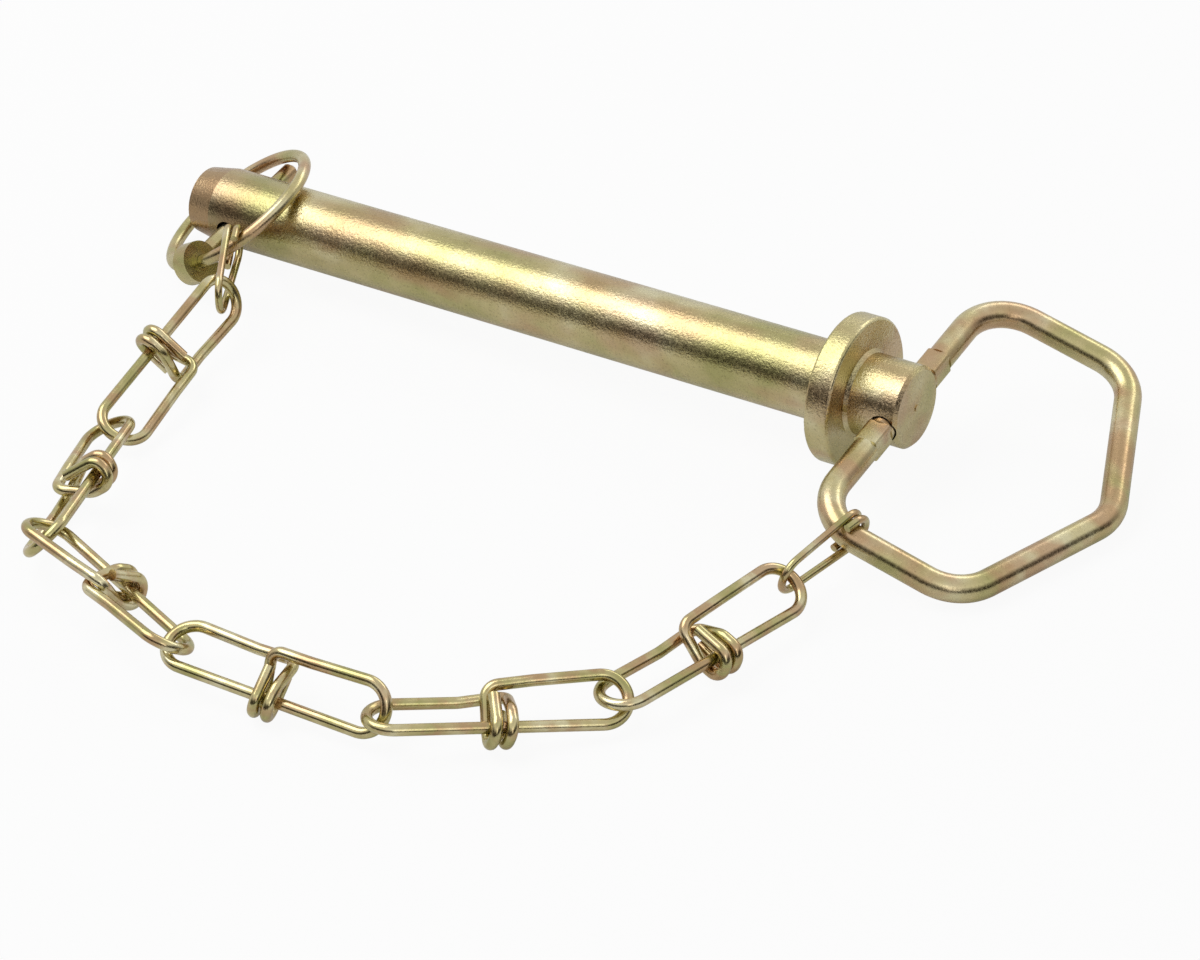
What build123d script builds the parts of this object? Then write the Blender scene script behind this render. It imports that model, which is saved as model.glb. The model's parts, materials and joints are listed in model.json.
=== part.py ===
"""Lever hitch pin: a shank with a collar, a wire handle that turns in its boss, a linch pin
with a spring ring through its tip, and a knotted wire chain between the ring and the handle.

Origin on the pin's axis at the collar's underside. +Z is up, +X runs along the pin towards
its head, and the whole thing lies on its collar, so the pin's axis rises by `slope` degrees."""
from build123d import *
import math
import os

# ---- driving dimensions, in millimetres and degrees ----
slope = 1.8               # rise of the pin's axis towards the head
shank_radius = 9.5
shank_length = 182.0
tip_chamfer = 7.0         # length of the tip's taper
tip_drop = 1.25           # how much the taper takes off the radius
collar_radius = 17.65
collar_thickness = 6.2
collar_round = 0.8
boss_radius = 9.75
boss_length = 13.2
step_height = 0.8         # turned step where the boss meets the collar
cross_turn = 7.0          # both cross holes are turned about the axis by this much

handle_wire = 6.3
handle_room = 0.3         # radial room of the wire in the boss
handle_offset = 9.6       # from the collar's outer face to the handle's hinge line
end_mark = 0.8            # radius of the centre mark on the boss
handle_half = 41.0
handle_side = 37.5
handle_reach = 54.0
handle_bend = 12.0
handle_droop = 17.07      # the handle hangs below the pin's line by this angle
wire_end = 6.0            # the handle's cut ends stop this far from the pin's axis
crimp_gap = 0.6           # between the boss and the crimp
crimp_length = 6.5
crimp_flat = 5.7          # across the flats that the swage leaves on each leg
crimp_corner = 0.9

linch_wire = 4.4
linch_room = 0.8          # radial room of the linch pin in the shank
linch_chamfer = 1.0
linch_from_tip = 12.5     # the linch pin's hole stands this far from the shank's tip
linch_length = 41.0       # from the ring's hinge line to the tip
linch_stand = 22.4        # from the pin's axis out to the ring's hinge line
head_radius = 5.2
head_thickness = 4.4
lip_height = 0.5          # raised lip round the head's hole
lip_wall = 0.9
ring_grip = 0.5           # how far the ring's ends reach into the head
ring_wire = 3.1
ring_radius = 20.3
ring_small_bend = 4.0
ring_spread = 14.0        # how far round the small bends turn
ring_turn = 28.5          # hinge line of the ring, turned about the linch pin
ring_swing = 6.0          # the ring leans back on the shank by this much
hinge_gap = 0.06          # running clearance of the ring's ends in the head

link_wire = 2.6
link_pitch = 52.2         # between the middles of the two end bends
link_width = 11.57
connector_wire = 1.8
connector_half = 13.0
connector_width = 4.4     # half width, to the wire's centre
connector_step = 1.15     # the two overlapped strands lie this far off the middle
connector_leg = 7.0       # length of an overlapped strand
flank_bend = 8.0          # bend in a link's flank, where the wire turns in to the knot

# ---- how the chain lies: two halves, one held by the ring and one by the handle ----
ring_seat = 45.0          # how far round the ring, from the eye, the chain holds on
handle_seat = 8.0         # from the handle's hinge line to where the chain holds on
ring_arm = (76.62, -127.86)       # from the ring's hold to where the two halves meet
handle_arm = (-104.29, -105.19)   # from the handle's hold to the same point

# Each piece is held by one of the two. Its place is measured level from that hold, with its
# own height, and then come its heading, pitch and roll, and for a link the lean of its loops.
link_poses = {
    "link_1": ("ring", (5.04, -41.16, -4.95), (-86.2, -11.0, -45.1), 0.31),
    "link_2": ("ring", (23.14, -86.56, -7.3), (-70.2, 6.6, -146.6), 0.18),
    "link_3": ("ring", (52.74, -113.56, -10.5), (-17.4, -4.5, 146.3), -0.05),
    "link_4": ("handle", (-79.87, -104.29, -12.85), (5.5, -3.7, 36.3), 0.38),
    "link_5": ("handle", (-31.17, -87.89, -12.1), (40.1, -6.0, 9.9), 0.36),
    "link_6": ("handle", (-3.77, -45.39, -11.25), (75.6, -1.6, 13.1), 0.36),
}
connector_poses = {
    "connector_a": ("ring", (1.94, -9.36, -2.55), (-61.75, -6.9, -92.2)),
    "connector_b": ("handle", (-0.77, -7.59, -7.4), (-101.2, -4.1, 75.0)),
}

# ---- directions of the lying pin ----
along = Vector(math.cos(math.radians(slope)), 0, math.sin(math.radians(slope)))
side = Vector(0, 1, 0)
upward = Vector(-along.Z, 0, along.X)
turn = math.radians(cross_turn)
across = side * math.cos(turn) + upward * math.sin(turn)
outer_face = collar_thickness + boss_length
handle_centre = along * (collar_thickness + handle_offset)
linch_centre = along * (linch_from_tip - shank_length)


def write(part, name):
    part.label = name
    export_step(part, "parts/" + name + ".step")


def wire(route, diameter):
    """Round wire along a route of straight runs and tangent arcs."""
    with BuildPart() as made:
        with BuildSketch(Plane(origin=route.line @ 0, z_dir=route.line % 0)):
            Circle(diameter / 2)
        sweep(path=route.line)
    length = sum(edge.length for edge in route.edges())
    section = math.pi * diameter ** 2 / 4
    print("wire length", round(length, 2), "volume over section x length", made.part.volume / section / length)
    return made.part


os.makedirs("parts", exist_ok=True)

# ---- pin: shank, collar and boss turned from one bar, with two cross holes ----
with BuildPart() as pin:
    with BuildSketch(Plane(origin=(0, 0, 0), x_dir=along, z_dir=(0, -1, 0))) as profile:
        with BuildLine():
            Polyline(
                (-shank_length, 0),
                (-shank_length, shank_radius - tip_drop),
                (-shank_length + tip_chamfer, shank_radius),
                (0, shank_radius),
                (0, collar_radius - collar_round),
            )
            RadiusArc((0, collar_radius - collar_round), (collar_round, collar_radius), collar_round)
            Line((collar_round, collar_radius), (collar_thickness - collar_round, collar_radius))
            RadiusArc(
                (collar_thickness - collar_round, collar_radius),
                (collar_thickness, collar_radius - collar_round),
                collar_round,
            )
            Polyline(
                (collar_thickness, collar_radius - collar_round),
                (collar_thickness, boss_radius + step_height),
                (collar_thickness + step_height, boss_radius),
                (outer_face - collar_round, boss_radius),
                (outer_face, boss_radius - collar_round),
                (outer_face, 0),
                (-shank_length, 0),
            )
        make_face()
    revolve(axis=Axis((0, 0, 0), along))
    with BuildSketch(Plane(origin=handle_centre, x_dir=along, z_dir=across)):
        Circle(handle_wire / 2 + handle_room)
    extrude(amount=2 * boss_radius, both=True, mode=Mode.SUBTRACT)
    with BuildSketch(Plane(origin=linch_centre, x_dir=along, z_dir=across)):
        Circle(linch_wire / 2 + linch_room)
    extrude(amount=2 * shank_radius, both=True, mode=Mode.SUBTRACT)
    with BuildSketch(Plane(origin=along * outer_face, x_dir=side, z_dir=along)):
        Circle(end_mark)
    extrude(amount=end_mark / 4)
write(pin.part, "pin")

# ---- handle: one bent wire whose cut ends turn in the boss, crimped beside it ----
fall = math.radians(handle_droop)
out = along * math.cos(fall) + across.cross(along) * math.sin(fall)
near_side = -across * handle_half
with BuildLine() as handle_route:
    FilletPolyline(
        handle_centre - across * wire_end,
        handle_centre + near_side,
        handle_centre + near_side + out * handle_side,
        handle_centre + out * handle_reach,
        handle_centre - near_side + out * handle_side,
        handle_centre - near_side,
        handle_centre + across * wire_end,
        radius=handle_bend,
    )
crimp_start = boss_radius + crimp_gap
with BuildPart() as handle:
    add(wire(handle_route, handle_wire))
    for sign in (-1, 1):
        crimp_plane = Plane(origin=handle_centre + across * crimp_start * sign, x_dir=along, z_dir=across * sign)
        with BuildSketch(crimp_plane):
            Circle(handle_wire)
            RectangleRounded(crimp_flat, crimp_flat, crimp_corner, mode=Mode.SUBTRACT)
        extrude(amount=crimp_length, mode=Mode.SUBTRACT)
        with BuildSketch(crimp_plane):
            RectangleRounded(crimp_flat, crimp_flat, crimp_corner)
        extrude(amount=crimp_length)
write(handle.part, "handle")

# ---- linch pin: round pin with a flattened eye, along the cross hole ----
hinge_point = linch_centre - across * linch_stand
level = across.cross(along)
hinge_turn = math.radians(ring_turn)
hinge_line = level * math.sin(hinge_turn) - along * math.cos(hinge_turn)
with BuildPart() as linch_pin:
    with BuildSketch(Plane(origin=hinge_point, x_dir=across, z_dir=hinge_line)):
        Circle(head_radius)
    extrude(amount=head_thickness / 2, both=True)
    with BuildSketch(Plane(origin=hinge_point, x_dir=across, z_dir=hinge_line)):
        Circle(ring_wire / 2 + lip_wall)
    extrude(amount=head_thickness / 2 + lip_height, both=True)
    neck = head_radius * 0.55
    with BuildSketch(Plane(origin=hinge_point + across * neck, x_dir=along, z_dir=across)):
        Circle(linch_wire / 2)
    extrude(amount=linch_length - neck)
    chamfer(linch_pin.faces().sort_by(Axis((0, 0, 0), across))[-1].edges(), linch_chamfer)
    with BuildSketch(Plane(origin=hinge_point, x_dir=across, z_dir=hinge_line)):
        Circle(ring_wire / 2 + hinge_gap)
    extrude(amount=head_radius, both=True, mode=Mode.SUBTRACT)
write(linch_pin.part, "linch_pin")

# ---- spring ring: a round hoop whose two ends turn in the linch pin's eye ----
lean = math.radians(ring_swing)
ring_up = across * math.cos(lean) - hinge_line.cross(across) * math.sin(lean)
spread = math.radians(ring_spread)
stub_end = (ring_radius - ring_small_bend) * math.sin(spread)
hoop_x = ring_radius * math.sin(spread)
hoop_centre = ring_small_bend * (1 - math.cos(spread)) + ring_radius * math.cos(spread)
hoop_low = hoop_centre - ring_radius * math.cos(spread)
stub_start = head_thickness / 2 - ring_grip
with BuildLine(Plane(origin=hinge_point, x_dir=hinge_line, z_dir=hinge_line.cross(ring_up))) as ring_route:
    Line((stub_start, 0), (stub_end, 0))
    CenterArc((stub_end, ring_small_bend), ring_small_bend, 270, ring_spread)
    ThreePointArc((hoop_x, hoop_low), (0, hoop_centre + ring_radius), (-hoop_x, hoop_low))
    CenterArc((-stub_end, ring_small_bend), ring_small_bend, 270 - ring_spread, ring_spread)
    Line((-stub_end, 0), (-stub_start, 0))
with BuildPart() as linch_ring:
    add(wire(ring_route, ring_wire))
write(linch_ring.part, "linch_ring")

# ---- where the chain holds on, and how its halves swing so that they still meet ----
seat = math.radians(ring_seat)
seat_in = hinge_line * -ring_radius * math.sin(seat)
seat_up = ring_up * (hoop_centre - ring_radius * math.cos(seat))
ring_hold = hinge_point + seat_in + seat_up
handle_hold = handle_centre + near_side + out * handle_seat
holds = {"ring": ring_hold, "handle": handle_hold}
arms = {"ring": ring_arm, "handle": handle_arm}


def meeting_point():
    """Where both halves reach when each keeps its length, seen from above."""
    run = Vector(handle_hold.X - ring_hold.X, handle_hold.Y - ring_hold.Y)
    reach = math.hypot(*ring_arm)
    beside = (reach ** 2 - math.hypot(*handle_arm) ** 2 + run.length ** 2) / (2 * run.length)
    aside = math.sqrt(reach ** 2 - beside ** 2)
    forward = run.normalized()
    return ring_hold + forward * beside + Vector(forward.Y, -forward.X) * aside


def heading_of(x, y):
    return math.degrees(math.atan2(y, x))


def lying_plane(held_by, place, angles):
    """Plane of a chain piece, swung level with its half about the hold."""
    hold = holds[held_by]
    reach = meeting_point() - hold
    swing = heading_of(reach.X, reach.Y) - heading_of(*arms[held_by])
    x, y, height = place
    spot = Vector(x, y).rotate(Axis.Z, swing)
    heading, pitch, roll = angles
    turned = (roll, -pitch, heading + swing)
    return Plane(Location((hold.X + spot.X, hold.Y + spot.Y, height), turned, Extrinsic.XYZ))


# ---- connectors: long wire eyes, closed with their ends overlapped ----
c_half = connector_half
c_width = connector_width
c_step = connector_step
connector_points = [
    (connector_leg - c_half, c_width, -c_step),
    (-c_half, c_width, -c_step),
    (-c_half, -c_width, -c_step),
    (c_half, -c_width, 0),
    (c_half, c_width, 0),
    (-c_half, c_width, c_step),
    (-c_half, -c_width, c_step),
    (connector_leg - c_half, -c_width, c_step),
]
for name, (held_by, place, angles) in connector_poses.items():
    with BuildLine(lying_plane(held_by, place, angles)) as connector_route:
        FilletPolyline(*connector_points, radius=0.98 * connector_width)
    with BuildPart() as connector:
        add(wire(connector_route, connector_wire))
    write(connector.part, name)


# ---- chain links: one wire each, bent to two loops and knotted round its own middle ----
def half_link(lean):
    """Corner points and bend radii from the middle of the spine to one cut end."""
    d = link_wire
    tip = link_pitch / 2 + d / 2

    def leaned(x, y, z, share):
        a = lean * share
        return (x, y * math.cos(a) - z * math.sin(a), y * math.sin(a) + z * math.cos(a))

    points = [
        (tip, 0, 0),
        leaned(tip, link_width, 0, 1),
        leaned(3.0 * d, link_width - 0.42 * d, 0.402 * d, 0.6),
        (-0.92 * d, link_width - 0.57 * d, 0.67 * d),
        (-0.92 * d, 0.85 * d, -1.17 * d),
        (-0.92 * d, -1.32 * d, -1.17 * d),
        (-0.33 * d, -1.32 * d, 1.17 * d),
        (-0.33 * d, 2.45 * d, 1.15 * d),
    ]
    end_bend = 0.48 * link_width
    radii = [end_bend, end_bend, flank_bend, 1.15 * d, 1.6 * d, 1.1 * d, 1.1 * d]
    return points, radii


for name, (held_by, place, angles, lean) in link_poses.items():
    points, radii = half_link(lean)
    mirrored = [(-x, y, -z) for x, y, z in points]
    with BuildLine(lying_plane(held_by, place, angles)) as link_route:
        FilletPolyline(*(mirrored[::-1] + points), radius=radii[::-1] + radii)
    with BuildPart() as link:
        add(wire(link_route, link_wire))
    write(link.part, name)
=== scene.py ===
"""Lever hitch pin with its linch pin and knotted chain: finishes, light and camera.

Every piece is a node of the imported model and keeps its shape. This script dresses
them in yellow zinc plate: a turned bar, thick bent wire and thin chain wire."""
import json
import math

import bpy
from mathutils import Matrix, Vector


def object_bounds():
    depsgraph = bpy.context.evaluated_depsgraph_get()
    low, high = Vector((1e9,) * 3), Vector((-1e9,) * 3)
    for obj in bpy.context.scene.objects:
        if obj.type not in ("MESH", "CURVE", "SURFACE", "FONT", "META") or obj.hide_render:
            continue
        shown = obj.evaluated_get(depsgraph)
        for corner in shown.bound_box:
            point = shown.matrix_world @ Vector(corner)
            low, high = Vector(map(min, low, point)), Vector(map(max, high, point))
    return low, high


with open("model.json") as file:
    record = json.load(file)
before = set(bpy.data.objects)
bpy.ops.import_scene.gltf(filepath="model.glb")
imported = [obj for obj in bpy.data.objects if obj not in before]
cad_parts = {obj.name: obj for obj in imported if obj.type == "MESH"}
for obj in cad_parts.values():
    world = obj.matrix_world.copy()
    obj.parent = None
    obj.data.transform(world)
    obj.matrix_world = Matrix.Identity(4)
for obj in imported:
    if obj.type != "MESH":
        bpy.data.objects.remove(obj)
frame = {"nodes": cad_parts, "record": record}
cad_low, cad_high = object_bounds()

MM = 0.001
PIN_SLOPE = math.radians(1.8)      # rise of the pin's axis towards its head
SHANK_LENGTH = 182.0 * MM
TIP_CHAMFER = 7.0 * MM
EDGE_BLUR = 0.15                   # mm, half the width of the colour change at the taper

STRAW = (0.58, 0.50, 0.26, 1)
OLIVE = (0.43, 0.40, 0.17, 1)
ROSE = (0.49, 0.29, 0.17, 1)
PALE = (0.70, 0.64, 0.41, 1)
RUSTY = (0.40, 0.24, 0.12, 1)
# painted dark reflection: the brown laid on the shank beside the linch pin's hole
PAINTED_REFLECTION_BROWN = (0.19, 0.12, 0.07, 1)
UMBER = (0.13, 0.08, 0.04, 1)


# ---- shader helpers ----
def new_material(name):
    material = bpy.data.materials.new(name)
    material.use_nodes = True
    tree = material.node_tree
    shader = tree.nodes["Principled BSDF"]
    shader.inputs["Metallic"].default_value = 1.0
    return material, tree, shader


def local_coordinates(tree, turn=(0, 0, 0)):
    """Object coordinates in millimetres, turned so that X can follow the pin."""
    source = tree.nodes.new("ShaderNodeTexCoord")
    mapping = tree.nodes.new("ShaderNodeMapping")
    mapping.inputs["Rotation"].default_value = turn
    mapping.inputs["Scale"].default_value = (1 / MM, 1 / MM, 1 / MM)
    tree.links.new(source.outputs["Object"], mapping.inputs["Vector"])
    return mapping.outputs["Vector"]


def noise(tree, vector, scale, detail=2.0, roughness=0.5, stretch=None):
    if stretch:
        squeeze = tree.nodes.new("ShaderNodeMapping")
        squeeze.inputs["Scale"].default_value = stretch
        tree.links.new(vector, squeeze.inputs["Vector"])
        vector = squeeze.outputs["Vector"]
    node = tree.nodes.new("ShaderNodeTexNoise")
    node.inputs["Scale"].default_value = scale
    node.inputs["Detail"].default_value = detail
    node.inputs["Roughness"].default_value = roughness
    tree.links.new(vector, node.inputs["Vector"])
    return node.outputs["Fac"]


def ramp(tree, value, stops):
    node = tree.nodes.new("ShaderNodeValToRGB")
    elements = node.color_ramp.elements
    while len(elements) < len(stops):
        elements.new(0.5)
    for element, (position, color) in zip(elements, stops):
        element.position = position
        element.color = color
    tree.links.new(value, node.inputs["Fac"])
    return node.outputs["Color"]


def mix(tree, factor, first, second, blend="MIX"):
    node = tree.nodes.new("ShaderNodeMix")
    node.data_type = "RGBA"
    node.blend_type = blend
    for socket, value in (("Factor", factor), ("A", first), ("B", second)):
        target = next(s for s in node.inputs if s.name == socket and s.enabled)
        if isinstance(value, (int, float, tuple)):
            target.default_value = value
        else:
            tree.links.new(value, target)
    return next(s for s in node.outputs if s.enabled)


def map_range(tree, value, low, high, to_low, to_high):
    node = tree.nodes.new("ShaderNodeMapRange")
    sockets = ("From Min", "From Max", "To Min", "To Max")
    for socket, number in zip(sockets, (low, high, to_low, to_high)):
        node.inputs[socket].default_value = number
    tree.links.new(value, node.inputs["Value"])
    return node.outputs["Result"]


def product(tree, first, second):
    node = tree.nodes.new("ShaderNodeMath")
    node.operation = "MULTIPLY"
    tree.links.new(first, node.inputs[0])
    tree.links.new(second, node.inputs[1])
    return node.outputs["Value"]


def bump(tree, height, strength, distance, normal=None):
    node = tree.nodes.new("ShaderNodeBump")
    node.inputs["Strength"].default_value = strength
    node.inputs["Distance"].default_value = distance
    tree.links.new(height, node.inputs["Height"])
    if normal:
        tree.links.new(normal, node.inputs["Normal"])
    return node.outputs["Normal"]


def zinc_color(tree, vector, patch, rose_share):
    """Straw to olive in soft patches, with rose where the passivate dried thicker."""
    patches = noise(tree, vector, patch, 3.0)
    base = ramp(tree, patches, [(0.36, OLIVE), (0.52, STRAW), (0.66, PALE)])
    blush = noise(tree, vector, patch * 1.4, 2.0, stretch=(0.6, 1.0, 1.4))
    amount = map_range(tree, blush, 0.47, 0.62, 0.0, rose_share)
    return mix(tree, amount, base, ROSE)


# ---- finishes ----
def turned_zinc():
    """Plated turned bar: sandy grain, faint lathe rings, a browner tapered tip and a
    painted dark reflection: a brown zone beside the linch pin's hole that fades towards the top."""
    material, tree, shader = new_material("turned_zinc")
    vector = local_coordinates(tree, (0, PIN_SLOPE, 0))
    color = zinc_color(tree, vector, 0.05, 0.55)
    parts = tree.nodes.new("ShaderNodeSeparateXYZ")
    tree.links.new(vector, parts.inputs["Vector"])
    taper_edge = (TIP_CHAMFER - SHANK_LENGTH) / MM
    # Painted dark reflection: brown beside the linch pin's hole, strongest on the low side and
    # fading towards the top.
    painted_reflection_near_hole = map_range(tree, parts.outputs["X"], taper_edge + 6.0, taper_edge + 18.0, 0.65, 0.0)
    painted_reflection_low_side = map_range(tree, parts.outputs["Z"], 6.0, 8.5, 1.0, 0.2)
    color = mix(tree, product(tree, painted_reflection_near_hole, painted_reflection_low_side), color, PAINTED_REFLECTION_BROWN)
    on_taper = map_range(tree, parts.outputs["X"], taper_edge - EDGE_BLUR, taper_edge + EDGE_BLUR,
                         0.60, 0.0)
    color = mix(tree, on_taper, color, RUSTY)
    specks = noise(tree, vector, 1.6, 2.0, 0.7)
    dark_specks = map_range(tree, specks, 0.56, 0.70, 0.0, 0.35)
    color = mix(tree, dark_specks, color, UMBER)
    tree.links.new(color, shader.inputs["Base Color"])
    grain = noise(tree, vector, 1.5, 3.0, 0.65)
    rings = noise(tree, vector, 1.0, 2.0, stretch=(3.0, 0.02, 0.02))
    rough = map_range(tree, grain, 0.35, 0.70, 0.14, 0.32)
    tree.links.new(rough, shader.inputs["Roughness"])
    normal = bump(tree, rings, 0.10, 0.05 * MM)
    normal = bump(tree, grain, 0.95, 0.12 * MM, normal)
    tree.links.new(normal, shader.inputs["Normal"])
    return material


def heavy_wire_zinc():
    """Plated bent wire: smoother than the bar, with dark specks and fine grain."""
    material, tree, shader = new_material("heavy_wire_zinc")
    vector = local_coordinates(tree)
    color = zinc_color(tree, vector, 0.07, 0.70)
    specks = noise(tree, vector, 1.9, 2.0, 0.7)
    dark_specks = map_range(tree, specks, 0.60, 0.72, 0.0, 0.30)
    color = mix(tree, dark_specks, color, UMBER)
    tree.links.new(color, shader.inputs["Base Color"])
    grain = noise(tree, vector, 1.7, 3.0, 0.6)
    tree.links.new(map_range(tree, grain, 0.35, 0.70, 0.20, 0.36), shader.inputs["Roughness"])
    tree.links.new(bump(tree, grain, 0.22, 0.10 * MM), shader.inputs["Normal"])
    return material


def chain_wire_zinc():
    """Thin drawn wire: bright, with soft brown streaks."""
    material, tree, shader = new_material("chain_wire_zinc")
    vector = local_coordinates(tree)
    color = zinc_color(tree, vector, 0.13, 0.65)
    streaks = noise(tree, vector, 0.55, 3.0, 0.6)
    color = mix(tree, map_range(tree, streaks, 0.56, 0.70, 0.0, 0.40), color, ROSE)
    tree.links.new(color, shader.inputs["Base Color"])
    grain = noise(tree, vector, 2.6, 2.0, 0.6)
    tree.links.new(map_range(tree, grain, 0.35, 0.70, 0.14, 0.28), shader.inputs["Roughness"])
    tree.links.new(bump(tree, grain, 0.10, 0.06 * MM), shader.inputs["Normal"])
    return material


finishes = {
    "zinc_turned": turned_zinc(),
    "zinc_heavy_wire": heavy_wire_zinc(),
    "zinc_chain_wire": chain_wire_zinc(),
}
slots = {part["node"]: part["material_slot"] for part in frame["record"]["subparts"]}
for name, node in frame["nodes"].items():
    node.data.materials.clear()
    node.data.materials.append(finishes[slots[name]])

# ---- floor, light and camera ----
FLOOR_Z = -17.7 * MM
FLOOR_SIZE = 8
CAMERA_WHITE = 0.93                # share of plain white where the camera sees the floor
MIRRORED_WHITE = 0.25              # share of it in reflections
centre = (cad_low + cad_high) / 2
bpy.ops.mesh.primitive_plane_add(size=FLOOR_SIZE, location=(centre.x, centre.y, FLOOR_Z))
floor = bpy.context.object
floor.name = "floor"


def white_for_sight(tree, surface, output):
    """Adds plain white for the camera, and less of it in reflections, over the lit floor."""
    path = tree.nodes.new("ShaderNodeLightPath")
    mirrored = tree.nodes.new("ShaderNodeMath")
    mirrored.operation = "MULTIPLY"
    mirrored.inputs[1].default_value = MIRRORED_WHITE
    tree.links.new(path.outputs["Is Glossy Ray"], mirrored.inputs[0])
    share = tree.nodes.new("ShaderNodeMath")
    share.operation = "MULTIPLY_ADD"
    share.inputs[1].default_value = CAMERA_WHITE
    tree.links.new(path.outputs["Is Camera Ray"], share.inputs[0])
    tree.links.new(mirrored.outputs[0], share.inputs[2])
    glow = tree.nodes.new("ShaderNodeEmission")
    glow.inputs["Color"].default_value = (1, 1, 1, 1)
    blend = tree.nodes.new("ShaderNodeMixShader")
    tree.links.new(share.outputs[0], blend.inputs["Fac"])
    tree.links.new(surface, blend.inputs[1])
    tree.links.new(glow.outputs["Emission"], blend.inputs[2])
    tree.links.new(blend.outputs["Shader"], output)


floor_material, floor_tree, floor_shader = new_material("floor_white")
floor_shader.inputs["Metallic"].default_value = 0.0
floor_shader.inputs["Base Color"].default_value = (0.95, 0.95, 0.95, 1)
floor_shader.inputs["Roughness"].default_value = 0.9
floor_output = floor_tree.nodes["Material Output"].inputs["Surface"]
white_for_sight(floor_tree, floor_shader.outputs["BSDF"], floor_output)
floor.data.materials.append(floor_material)


DARK_SIDE = (0.57, -0.82, 0.0)     # the room is dark towards the camera
BACKDROP = (0.80, 0.80, 0.80, 1)
DARK_ROOM = (0.02, 0.018, 0.016, 1)
DIM_ROOM = (0.09, 0.08, 0.07, 1)
BRIGHT_ROOM = (1.0, 1.0, 1.0, 1)
TENT_TOP = (0.75, 0.75, 0.75, 1)
ROOM_BY_HEIGHT = [(0.0, DARK_ROOM), (0.40, DIM_ROOM), (0.66, BRIGHT_ROOM), (0.95, TENT_TOP)]


def studio_world():
    """White in sight; soft grey for the light that falls on the object."""
    world = bpy.data.worlds.new("studio")
    bpy.context.scene.world = world
    world.use_nodes = True
    tree = world.node_tree
    background = tree.nodes["Background"]
    background.inputs["Color"].default_value = (0.55, 0.55, 0.55, 1)
    background.inputs["Strength"].default_value = 0.5
    sight = tree.nodes.new("ShaderNodeBackground")
    direction = tree.nodes.new("ShaderNodeTexCoord")
    parts = tree.nodes.new("ShaderNodeSeparateXYZ")
    tree.links.new(direction.outputs["Generated"], parts.inputs["Vector"])
    front = tree.nodes.new("ShaderNodeVectorMath")
    front.operation = "DOT_PRODUCT"
    front.inputs[1].default_value = DARK_SIDE
    tree.links.new(direction.outputs["Generated"], front.inputs[0])
    room = ramp(tree, parts.outputs["Z"], ROOM_BY_HEIGHT)
    share = map_range(tree, front.outputs["Value"], -0.35, 0.30, 0.0, 1.0)
    tree.links.new(mix(tree, share, BACKDROP, room), sight.inputs["Color"])
    path = tree.nodes.new("ShaderNodeLightPath")
    glossy = tree.nodes.new("ShaderNodeMixShader")
    tree.links.new(path.outputs["Is Glossy Ray"], glossy.inputs["Fac"])
    tree.links.new(background.outputs["Background"], glossy.inputs[1])
    tree.links.new(sight.outputs["Background"], glossy.inputs[2])
    white = tree.nodes.new("ShaderNodeBackground")
    white.inputs["Color"].default_value = (1, 1, 1, 1)
    camera = tree.nodes.new("ShaderNodeMixShader")
    tree.links.new(path.outputs["Is Camera Ray"], camera.inputs["Fac"])
    tree.links.new(glossy.outputs["Shader"], camera.inputs[1])
    tree.links.new(white.outputs["Background"], camera.inputs[2])
    tree.links.new(camera.outputs["Shader"], tree.nodes["World Output"].inputs["Surface"])


studio_world()


def softbox(name, place, size, power):
    light = bpy.data.lights.new(name, "AREA")
    light.shape = "RECTANGLE"
    light.size, light.size_y = size
    light.energy = power
    lamp = bpy.data.objects.new(name, light)
    lamp.location = centre + Vector(place)
    lamp.rotation_mode = "QUATERNION"
    lamp.rotation_quaternion = (-Vector(place)).to_track_quat("-Z", "Y")
    bpy.context.scene.collection.objects.link(lamp)


softbox("key_softbox", (-0.55, -0.15, 0.95), (0.80, 0.80), 5.0)
softbox("fill_softbox", (0.75, -0.75, 0.55), (0.35, 0.6), 0.8)
softbox("rim_softbox", (0.1, 0.95, 0.65), (0.9, 0.3), 1.6)

CAMERA_PLACE = Vector((0.3797, -0.6464, 0.5161))
LOOK = Vector((-0.462, 0.667, -0.585)).normalized()
CAMERA_UP = Vector((-0.292, 0.508, 0.810))
LENS = 120.07
camera_data = bpy.data.cameras.new("camera")
camera_data.lens = LENS
camera_data.sensor_width = 36.0
camera_data.clip_start = 0.01
camera_data.clip_end = 20.0
camera = bpy.data.objects.new("camera", camera_data)
right = LOOK.cross(CAMERA_UP).normalized()
up = right.cross(LOOK)
turn = Matrix((right, up, -LOOK)).transposed()
camera.matrix_world = Matrix.Translation(CAMERA_PLACE) @ turn.to_4x4()
bpy.context.scene.collection.objects.link(camera)
bpy.context.scene.camera = camera
bpy.context.scene.view_settings.view_transform = "Standard"
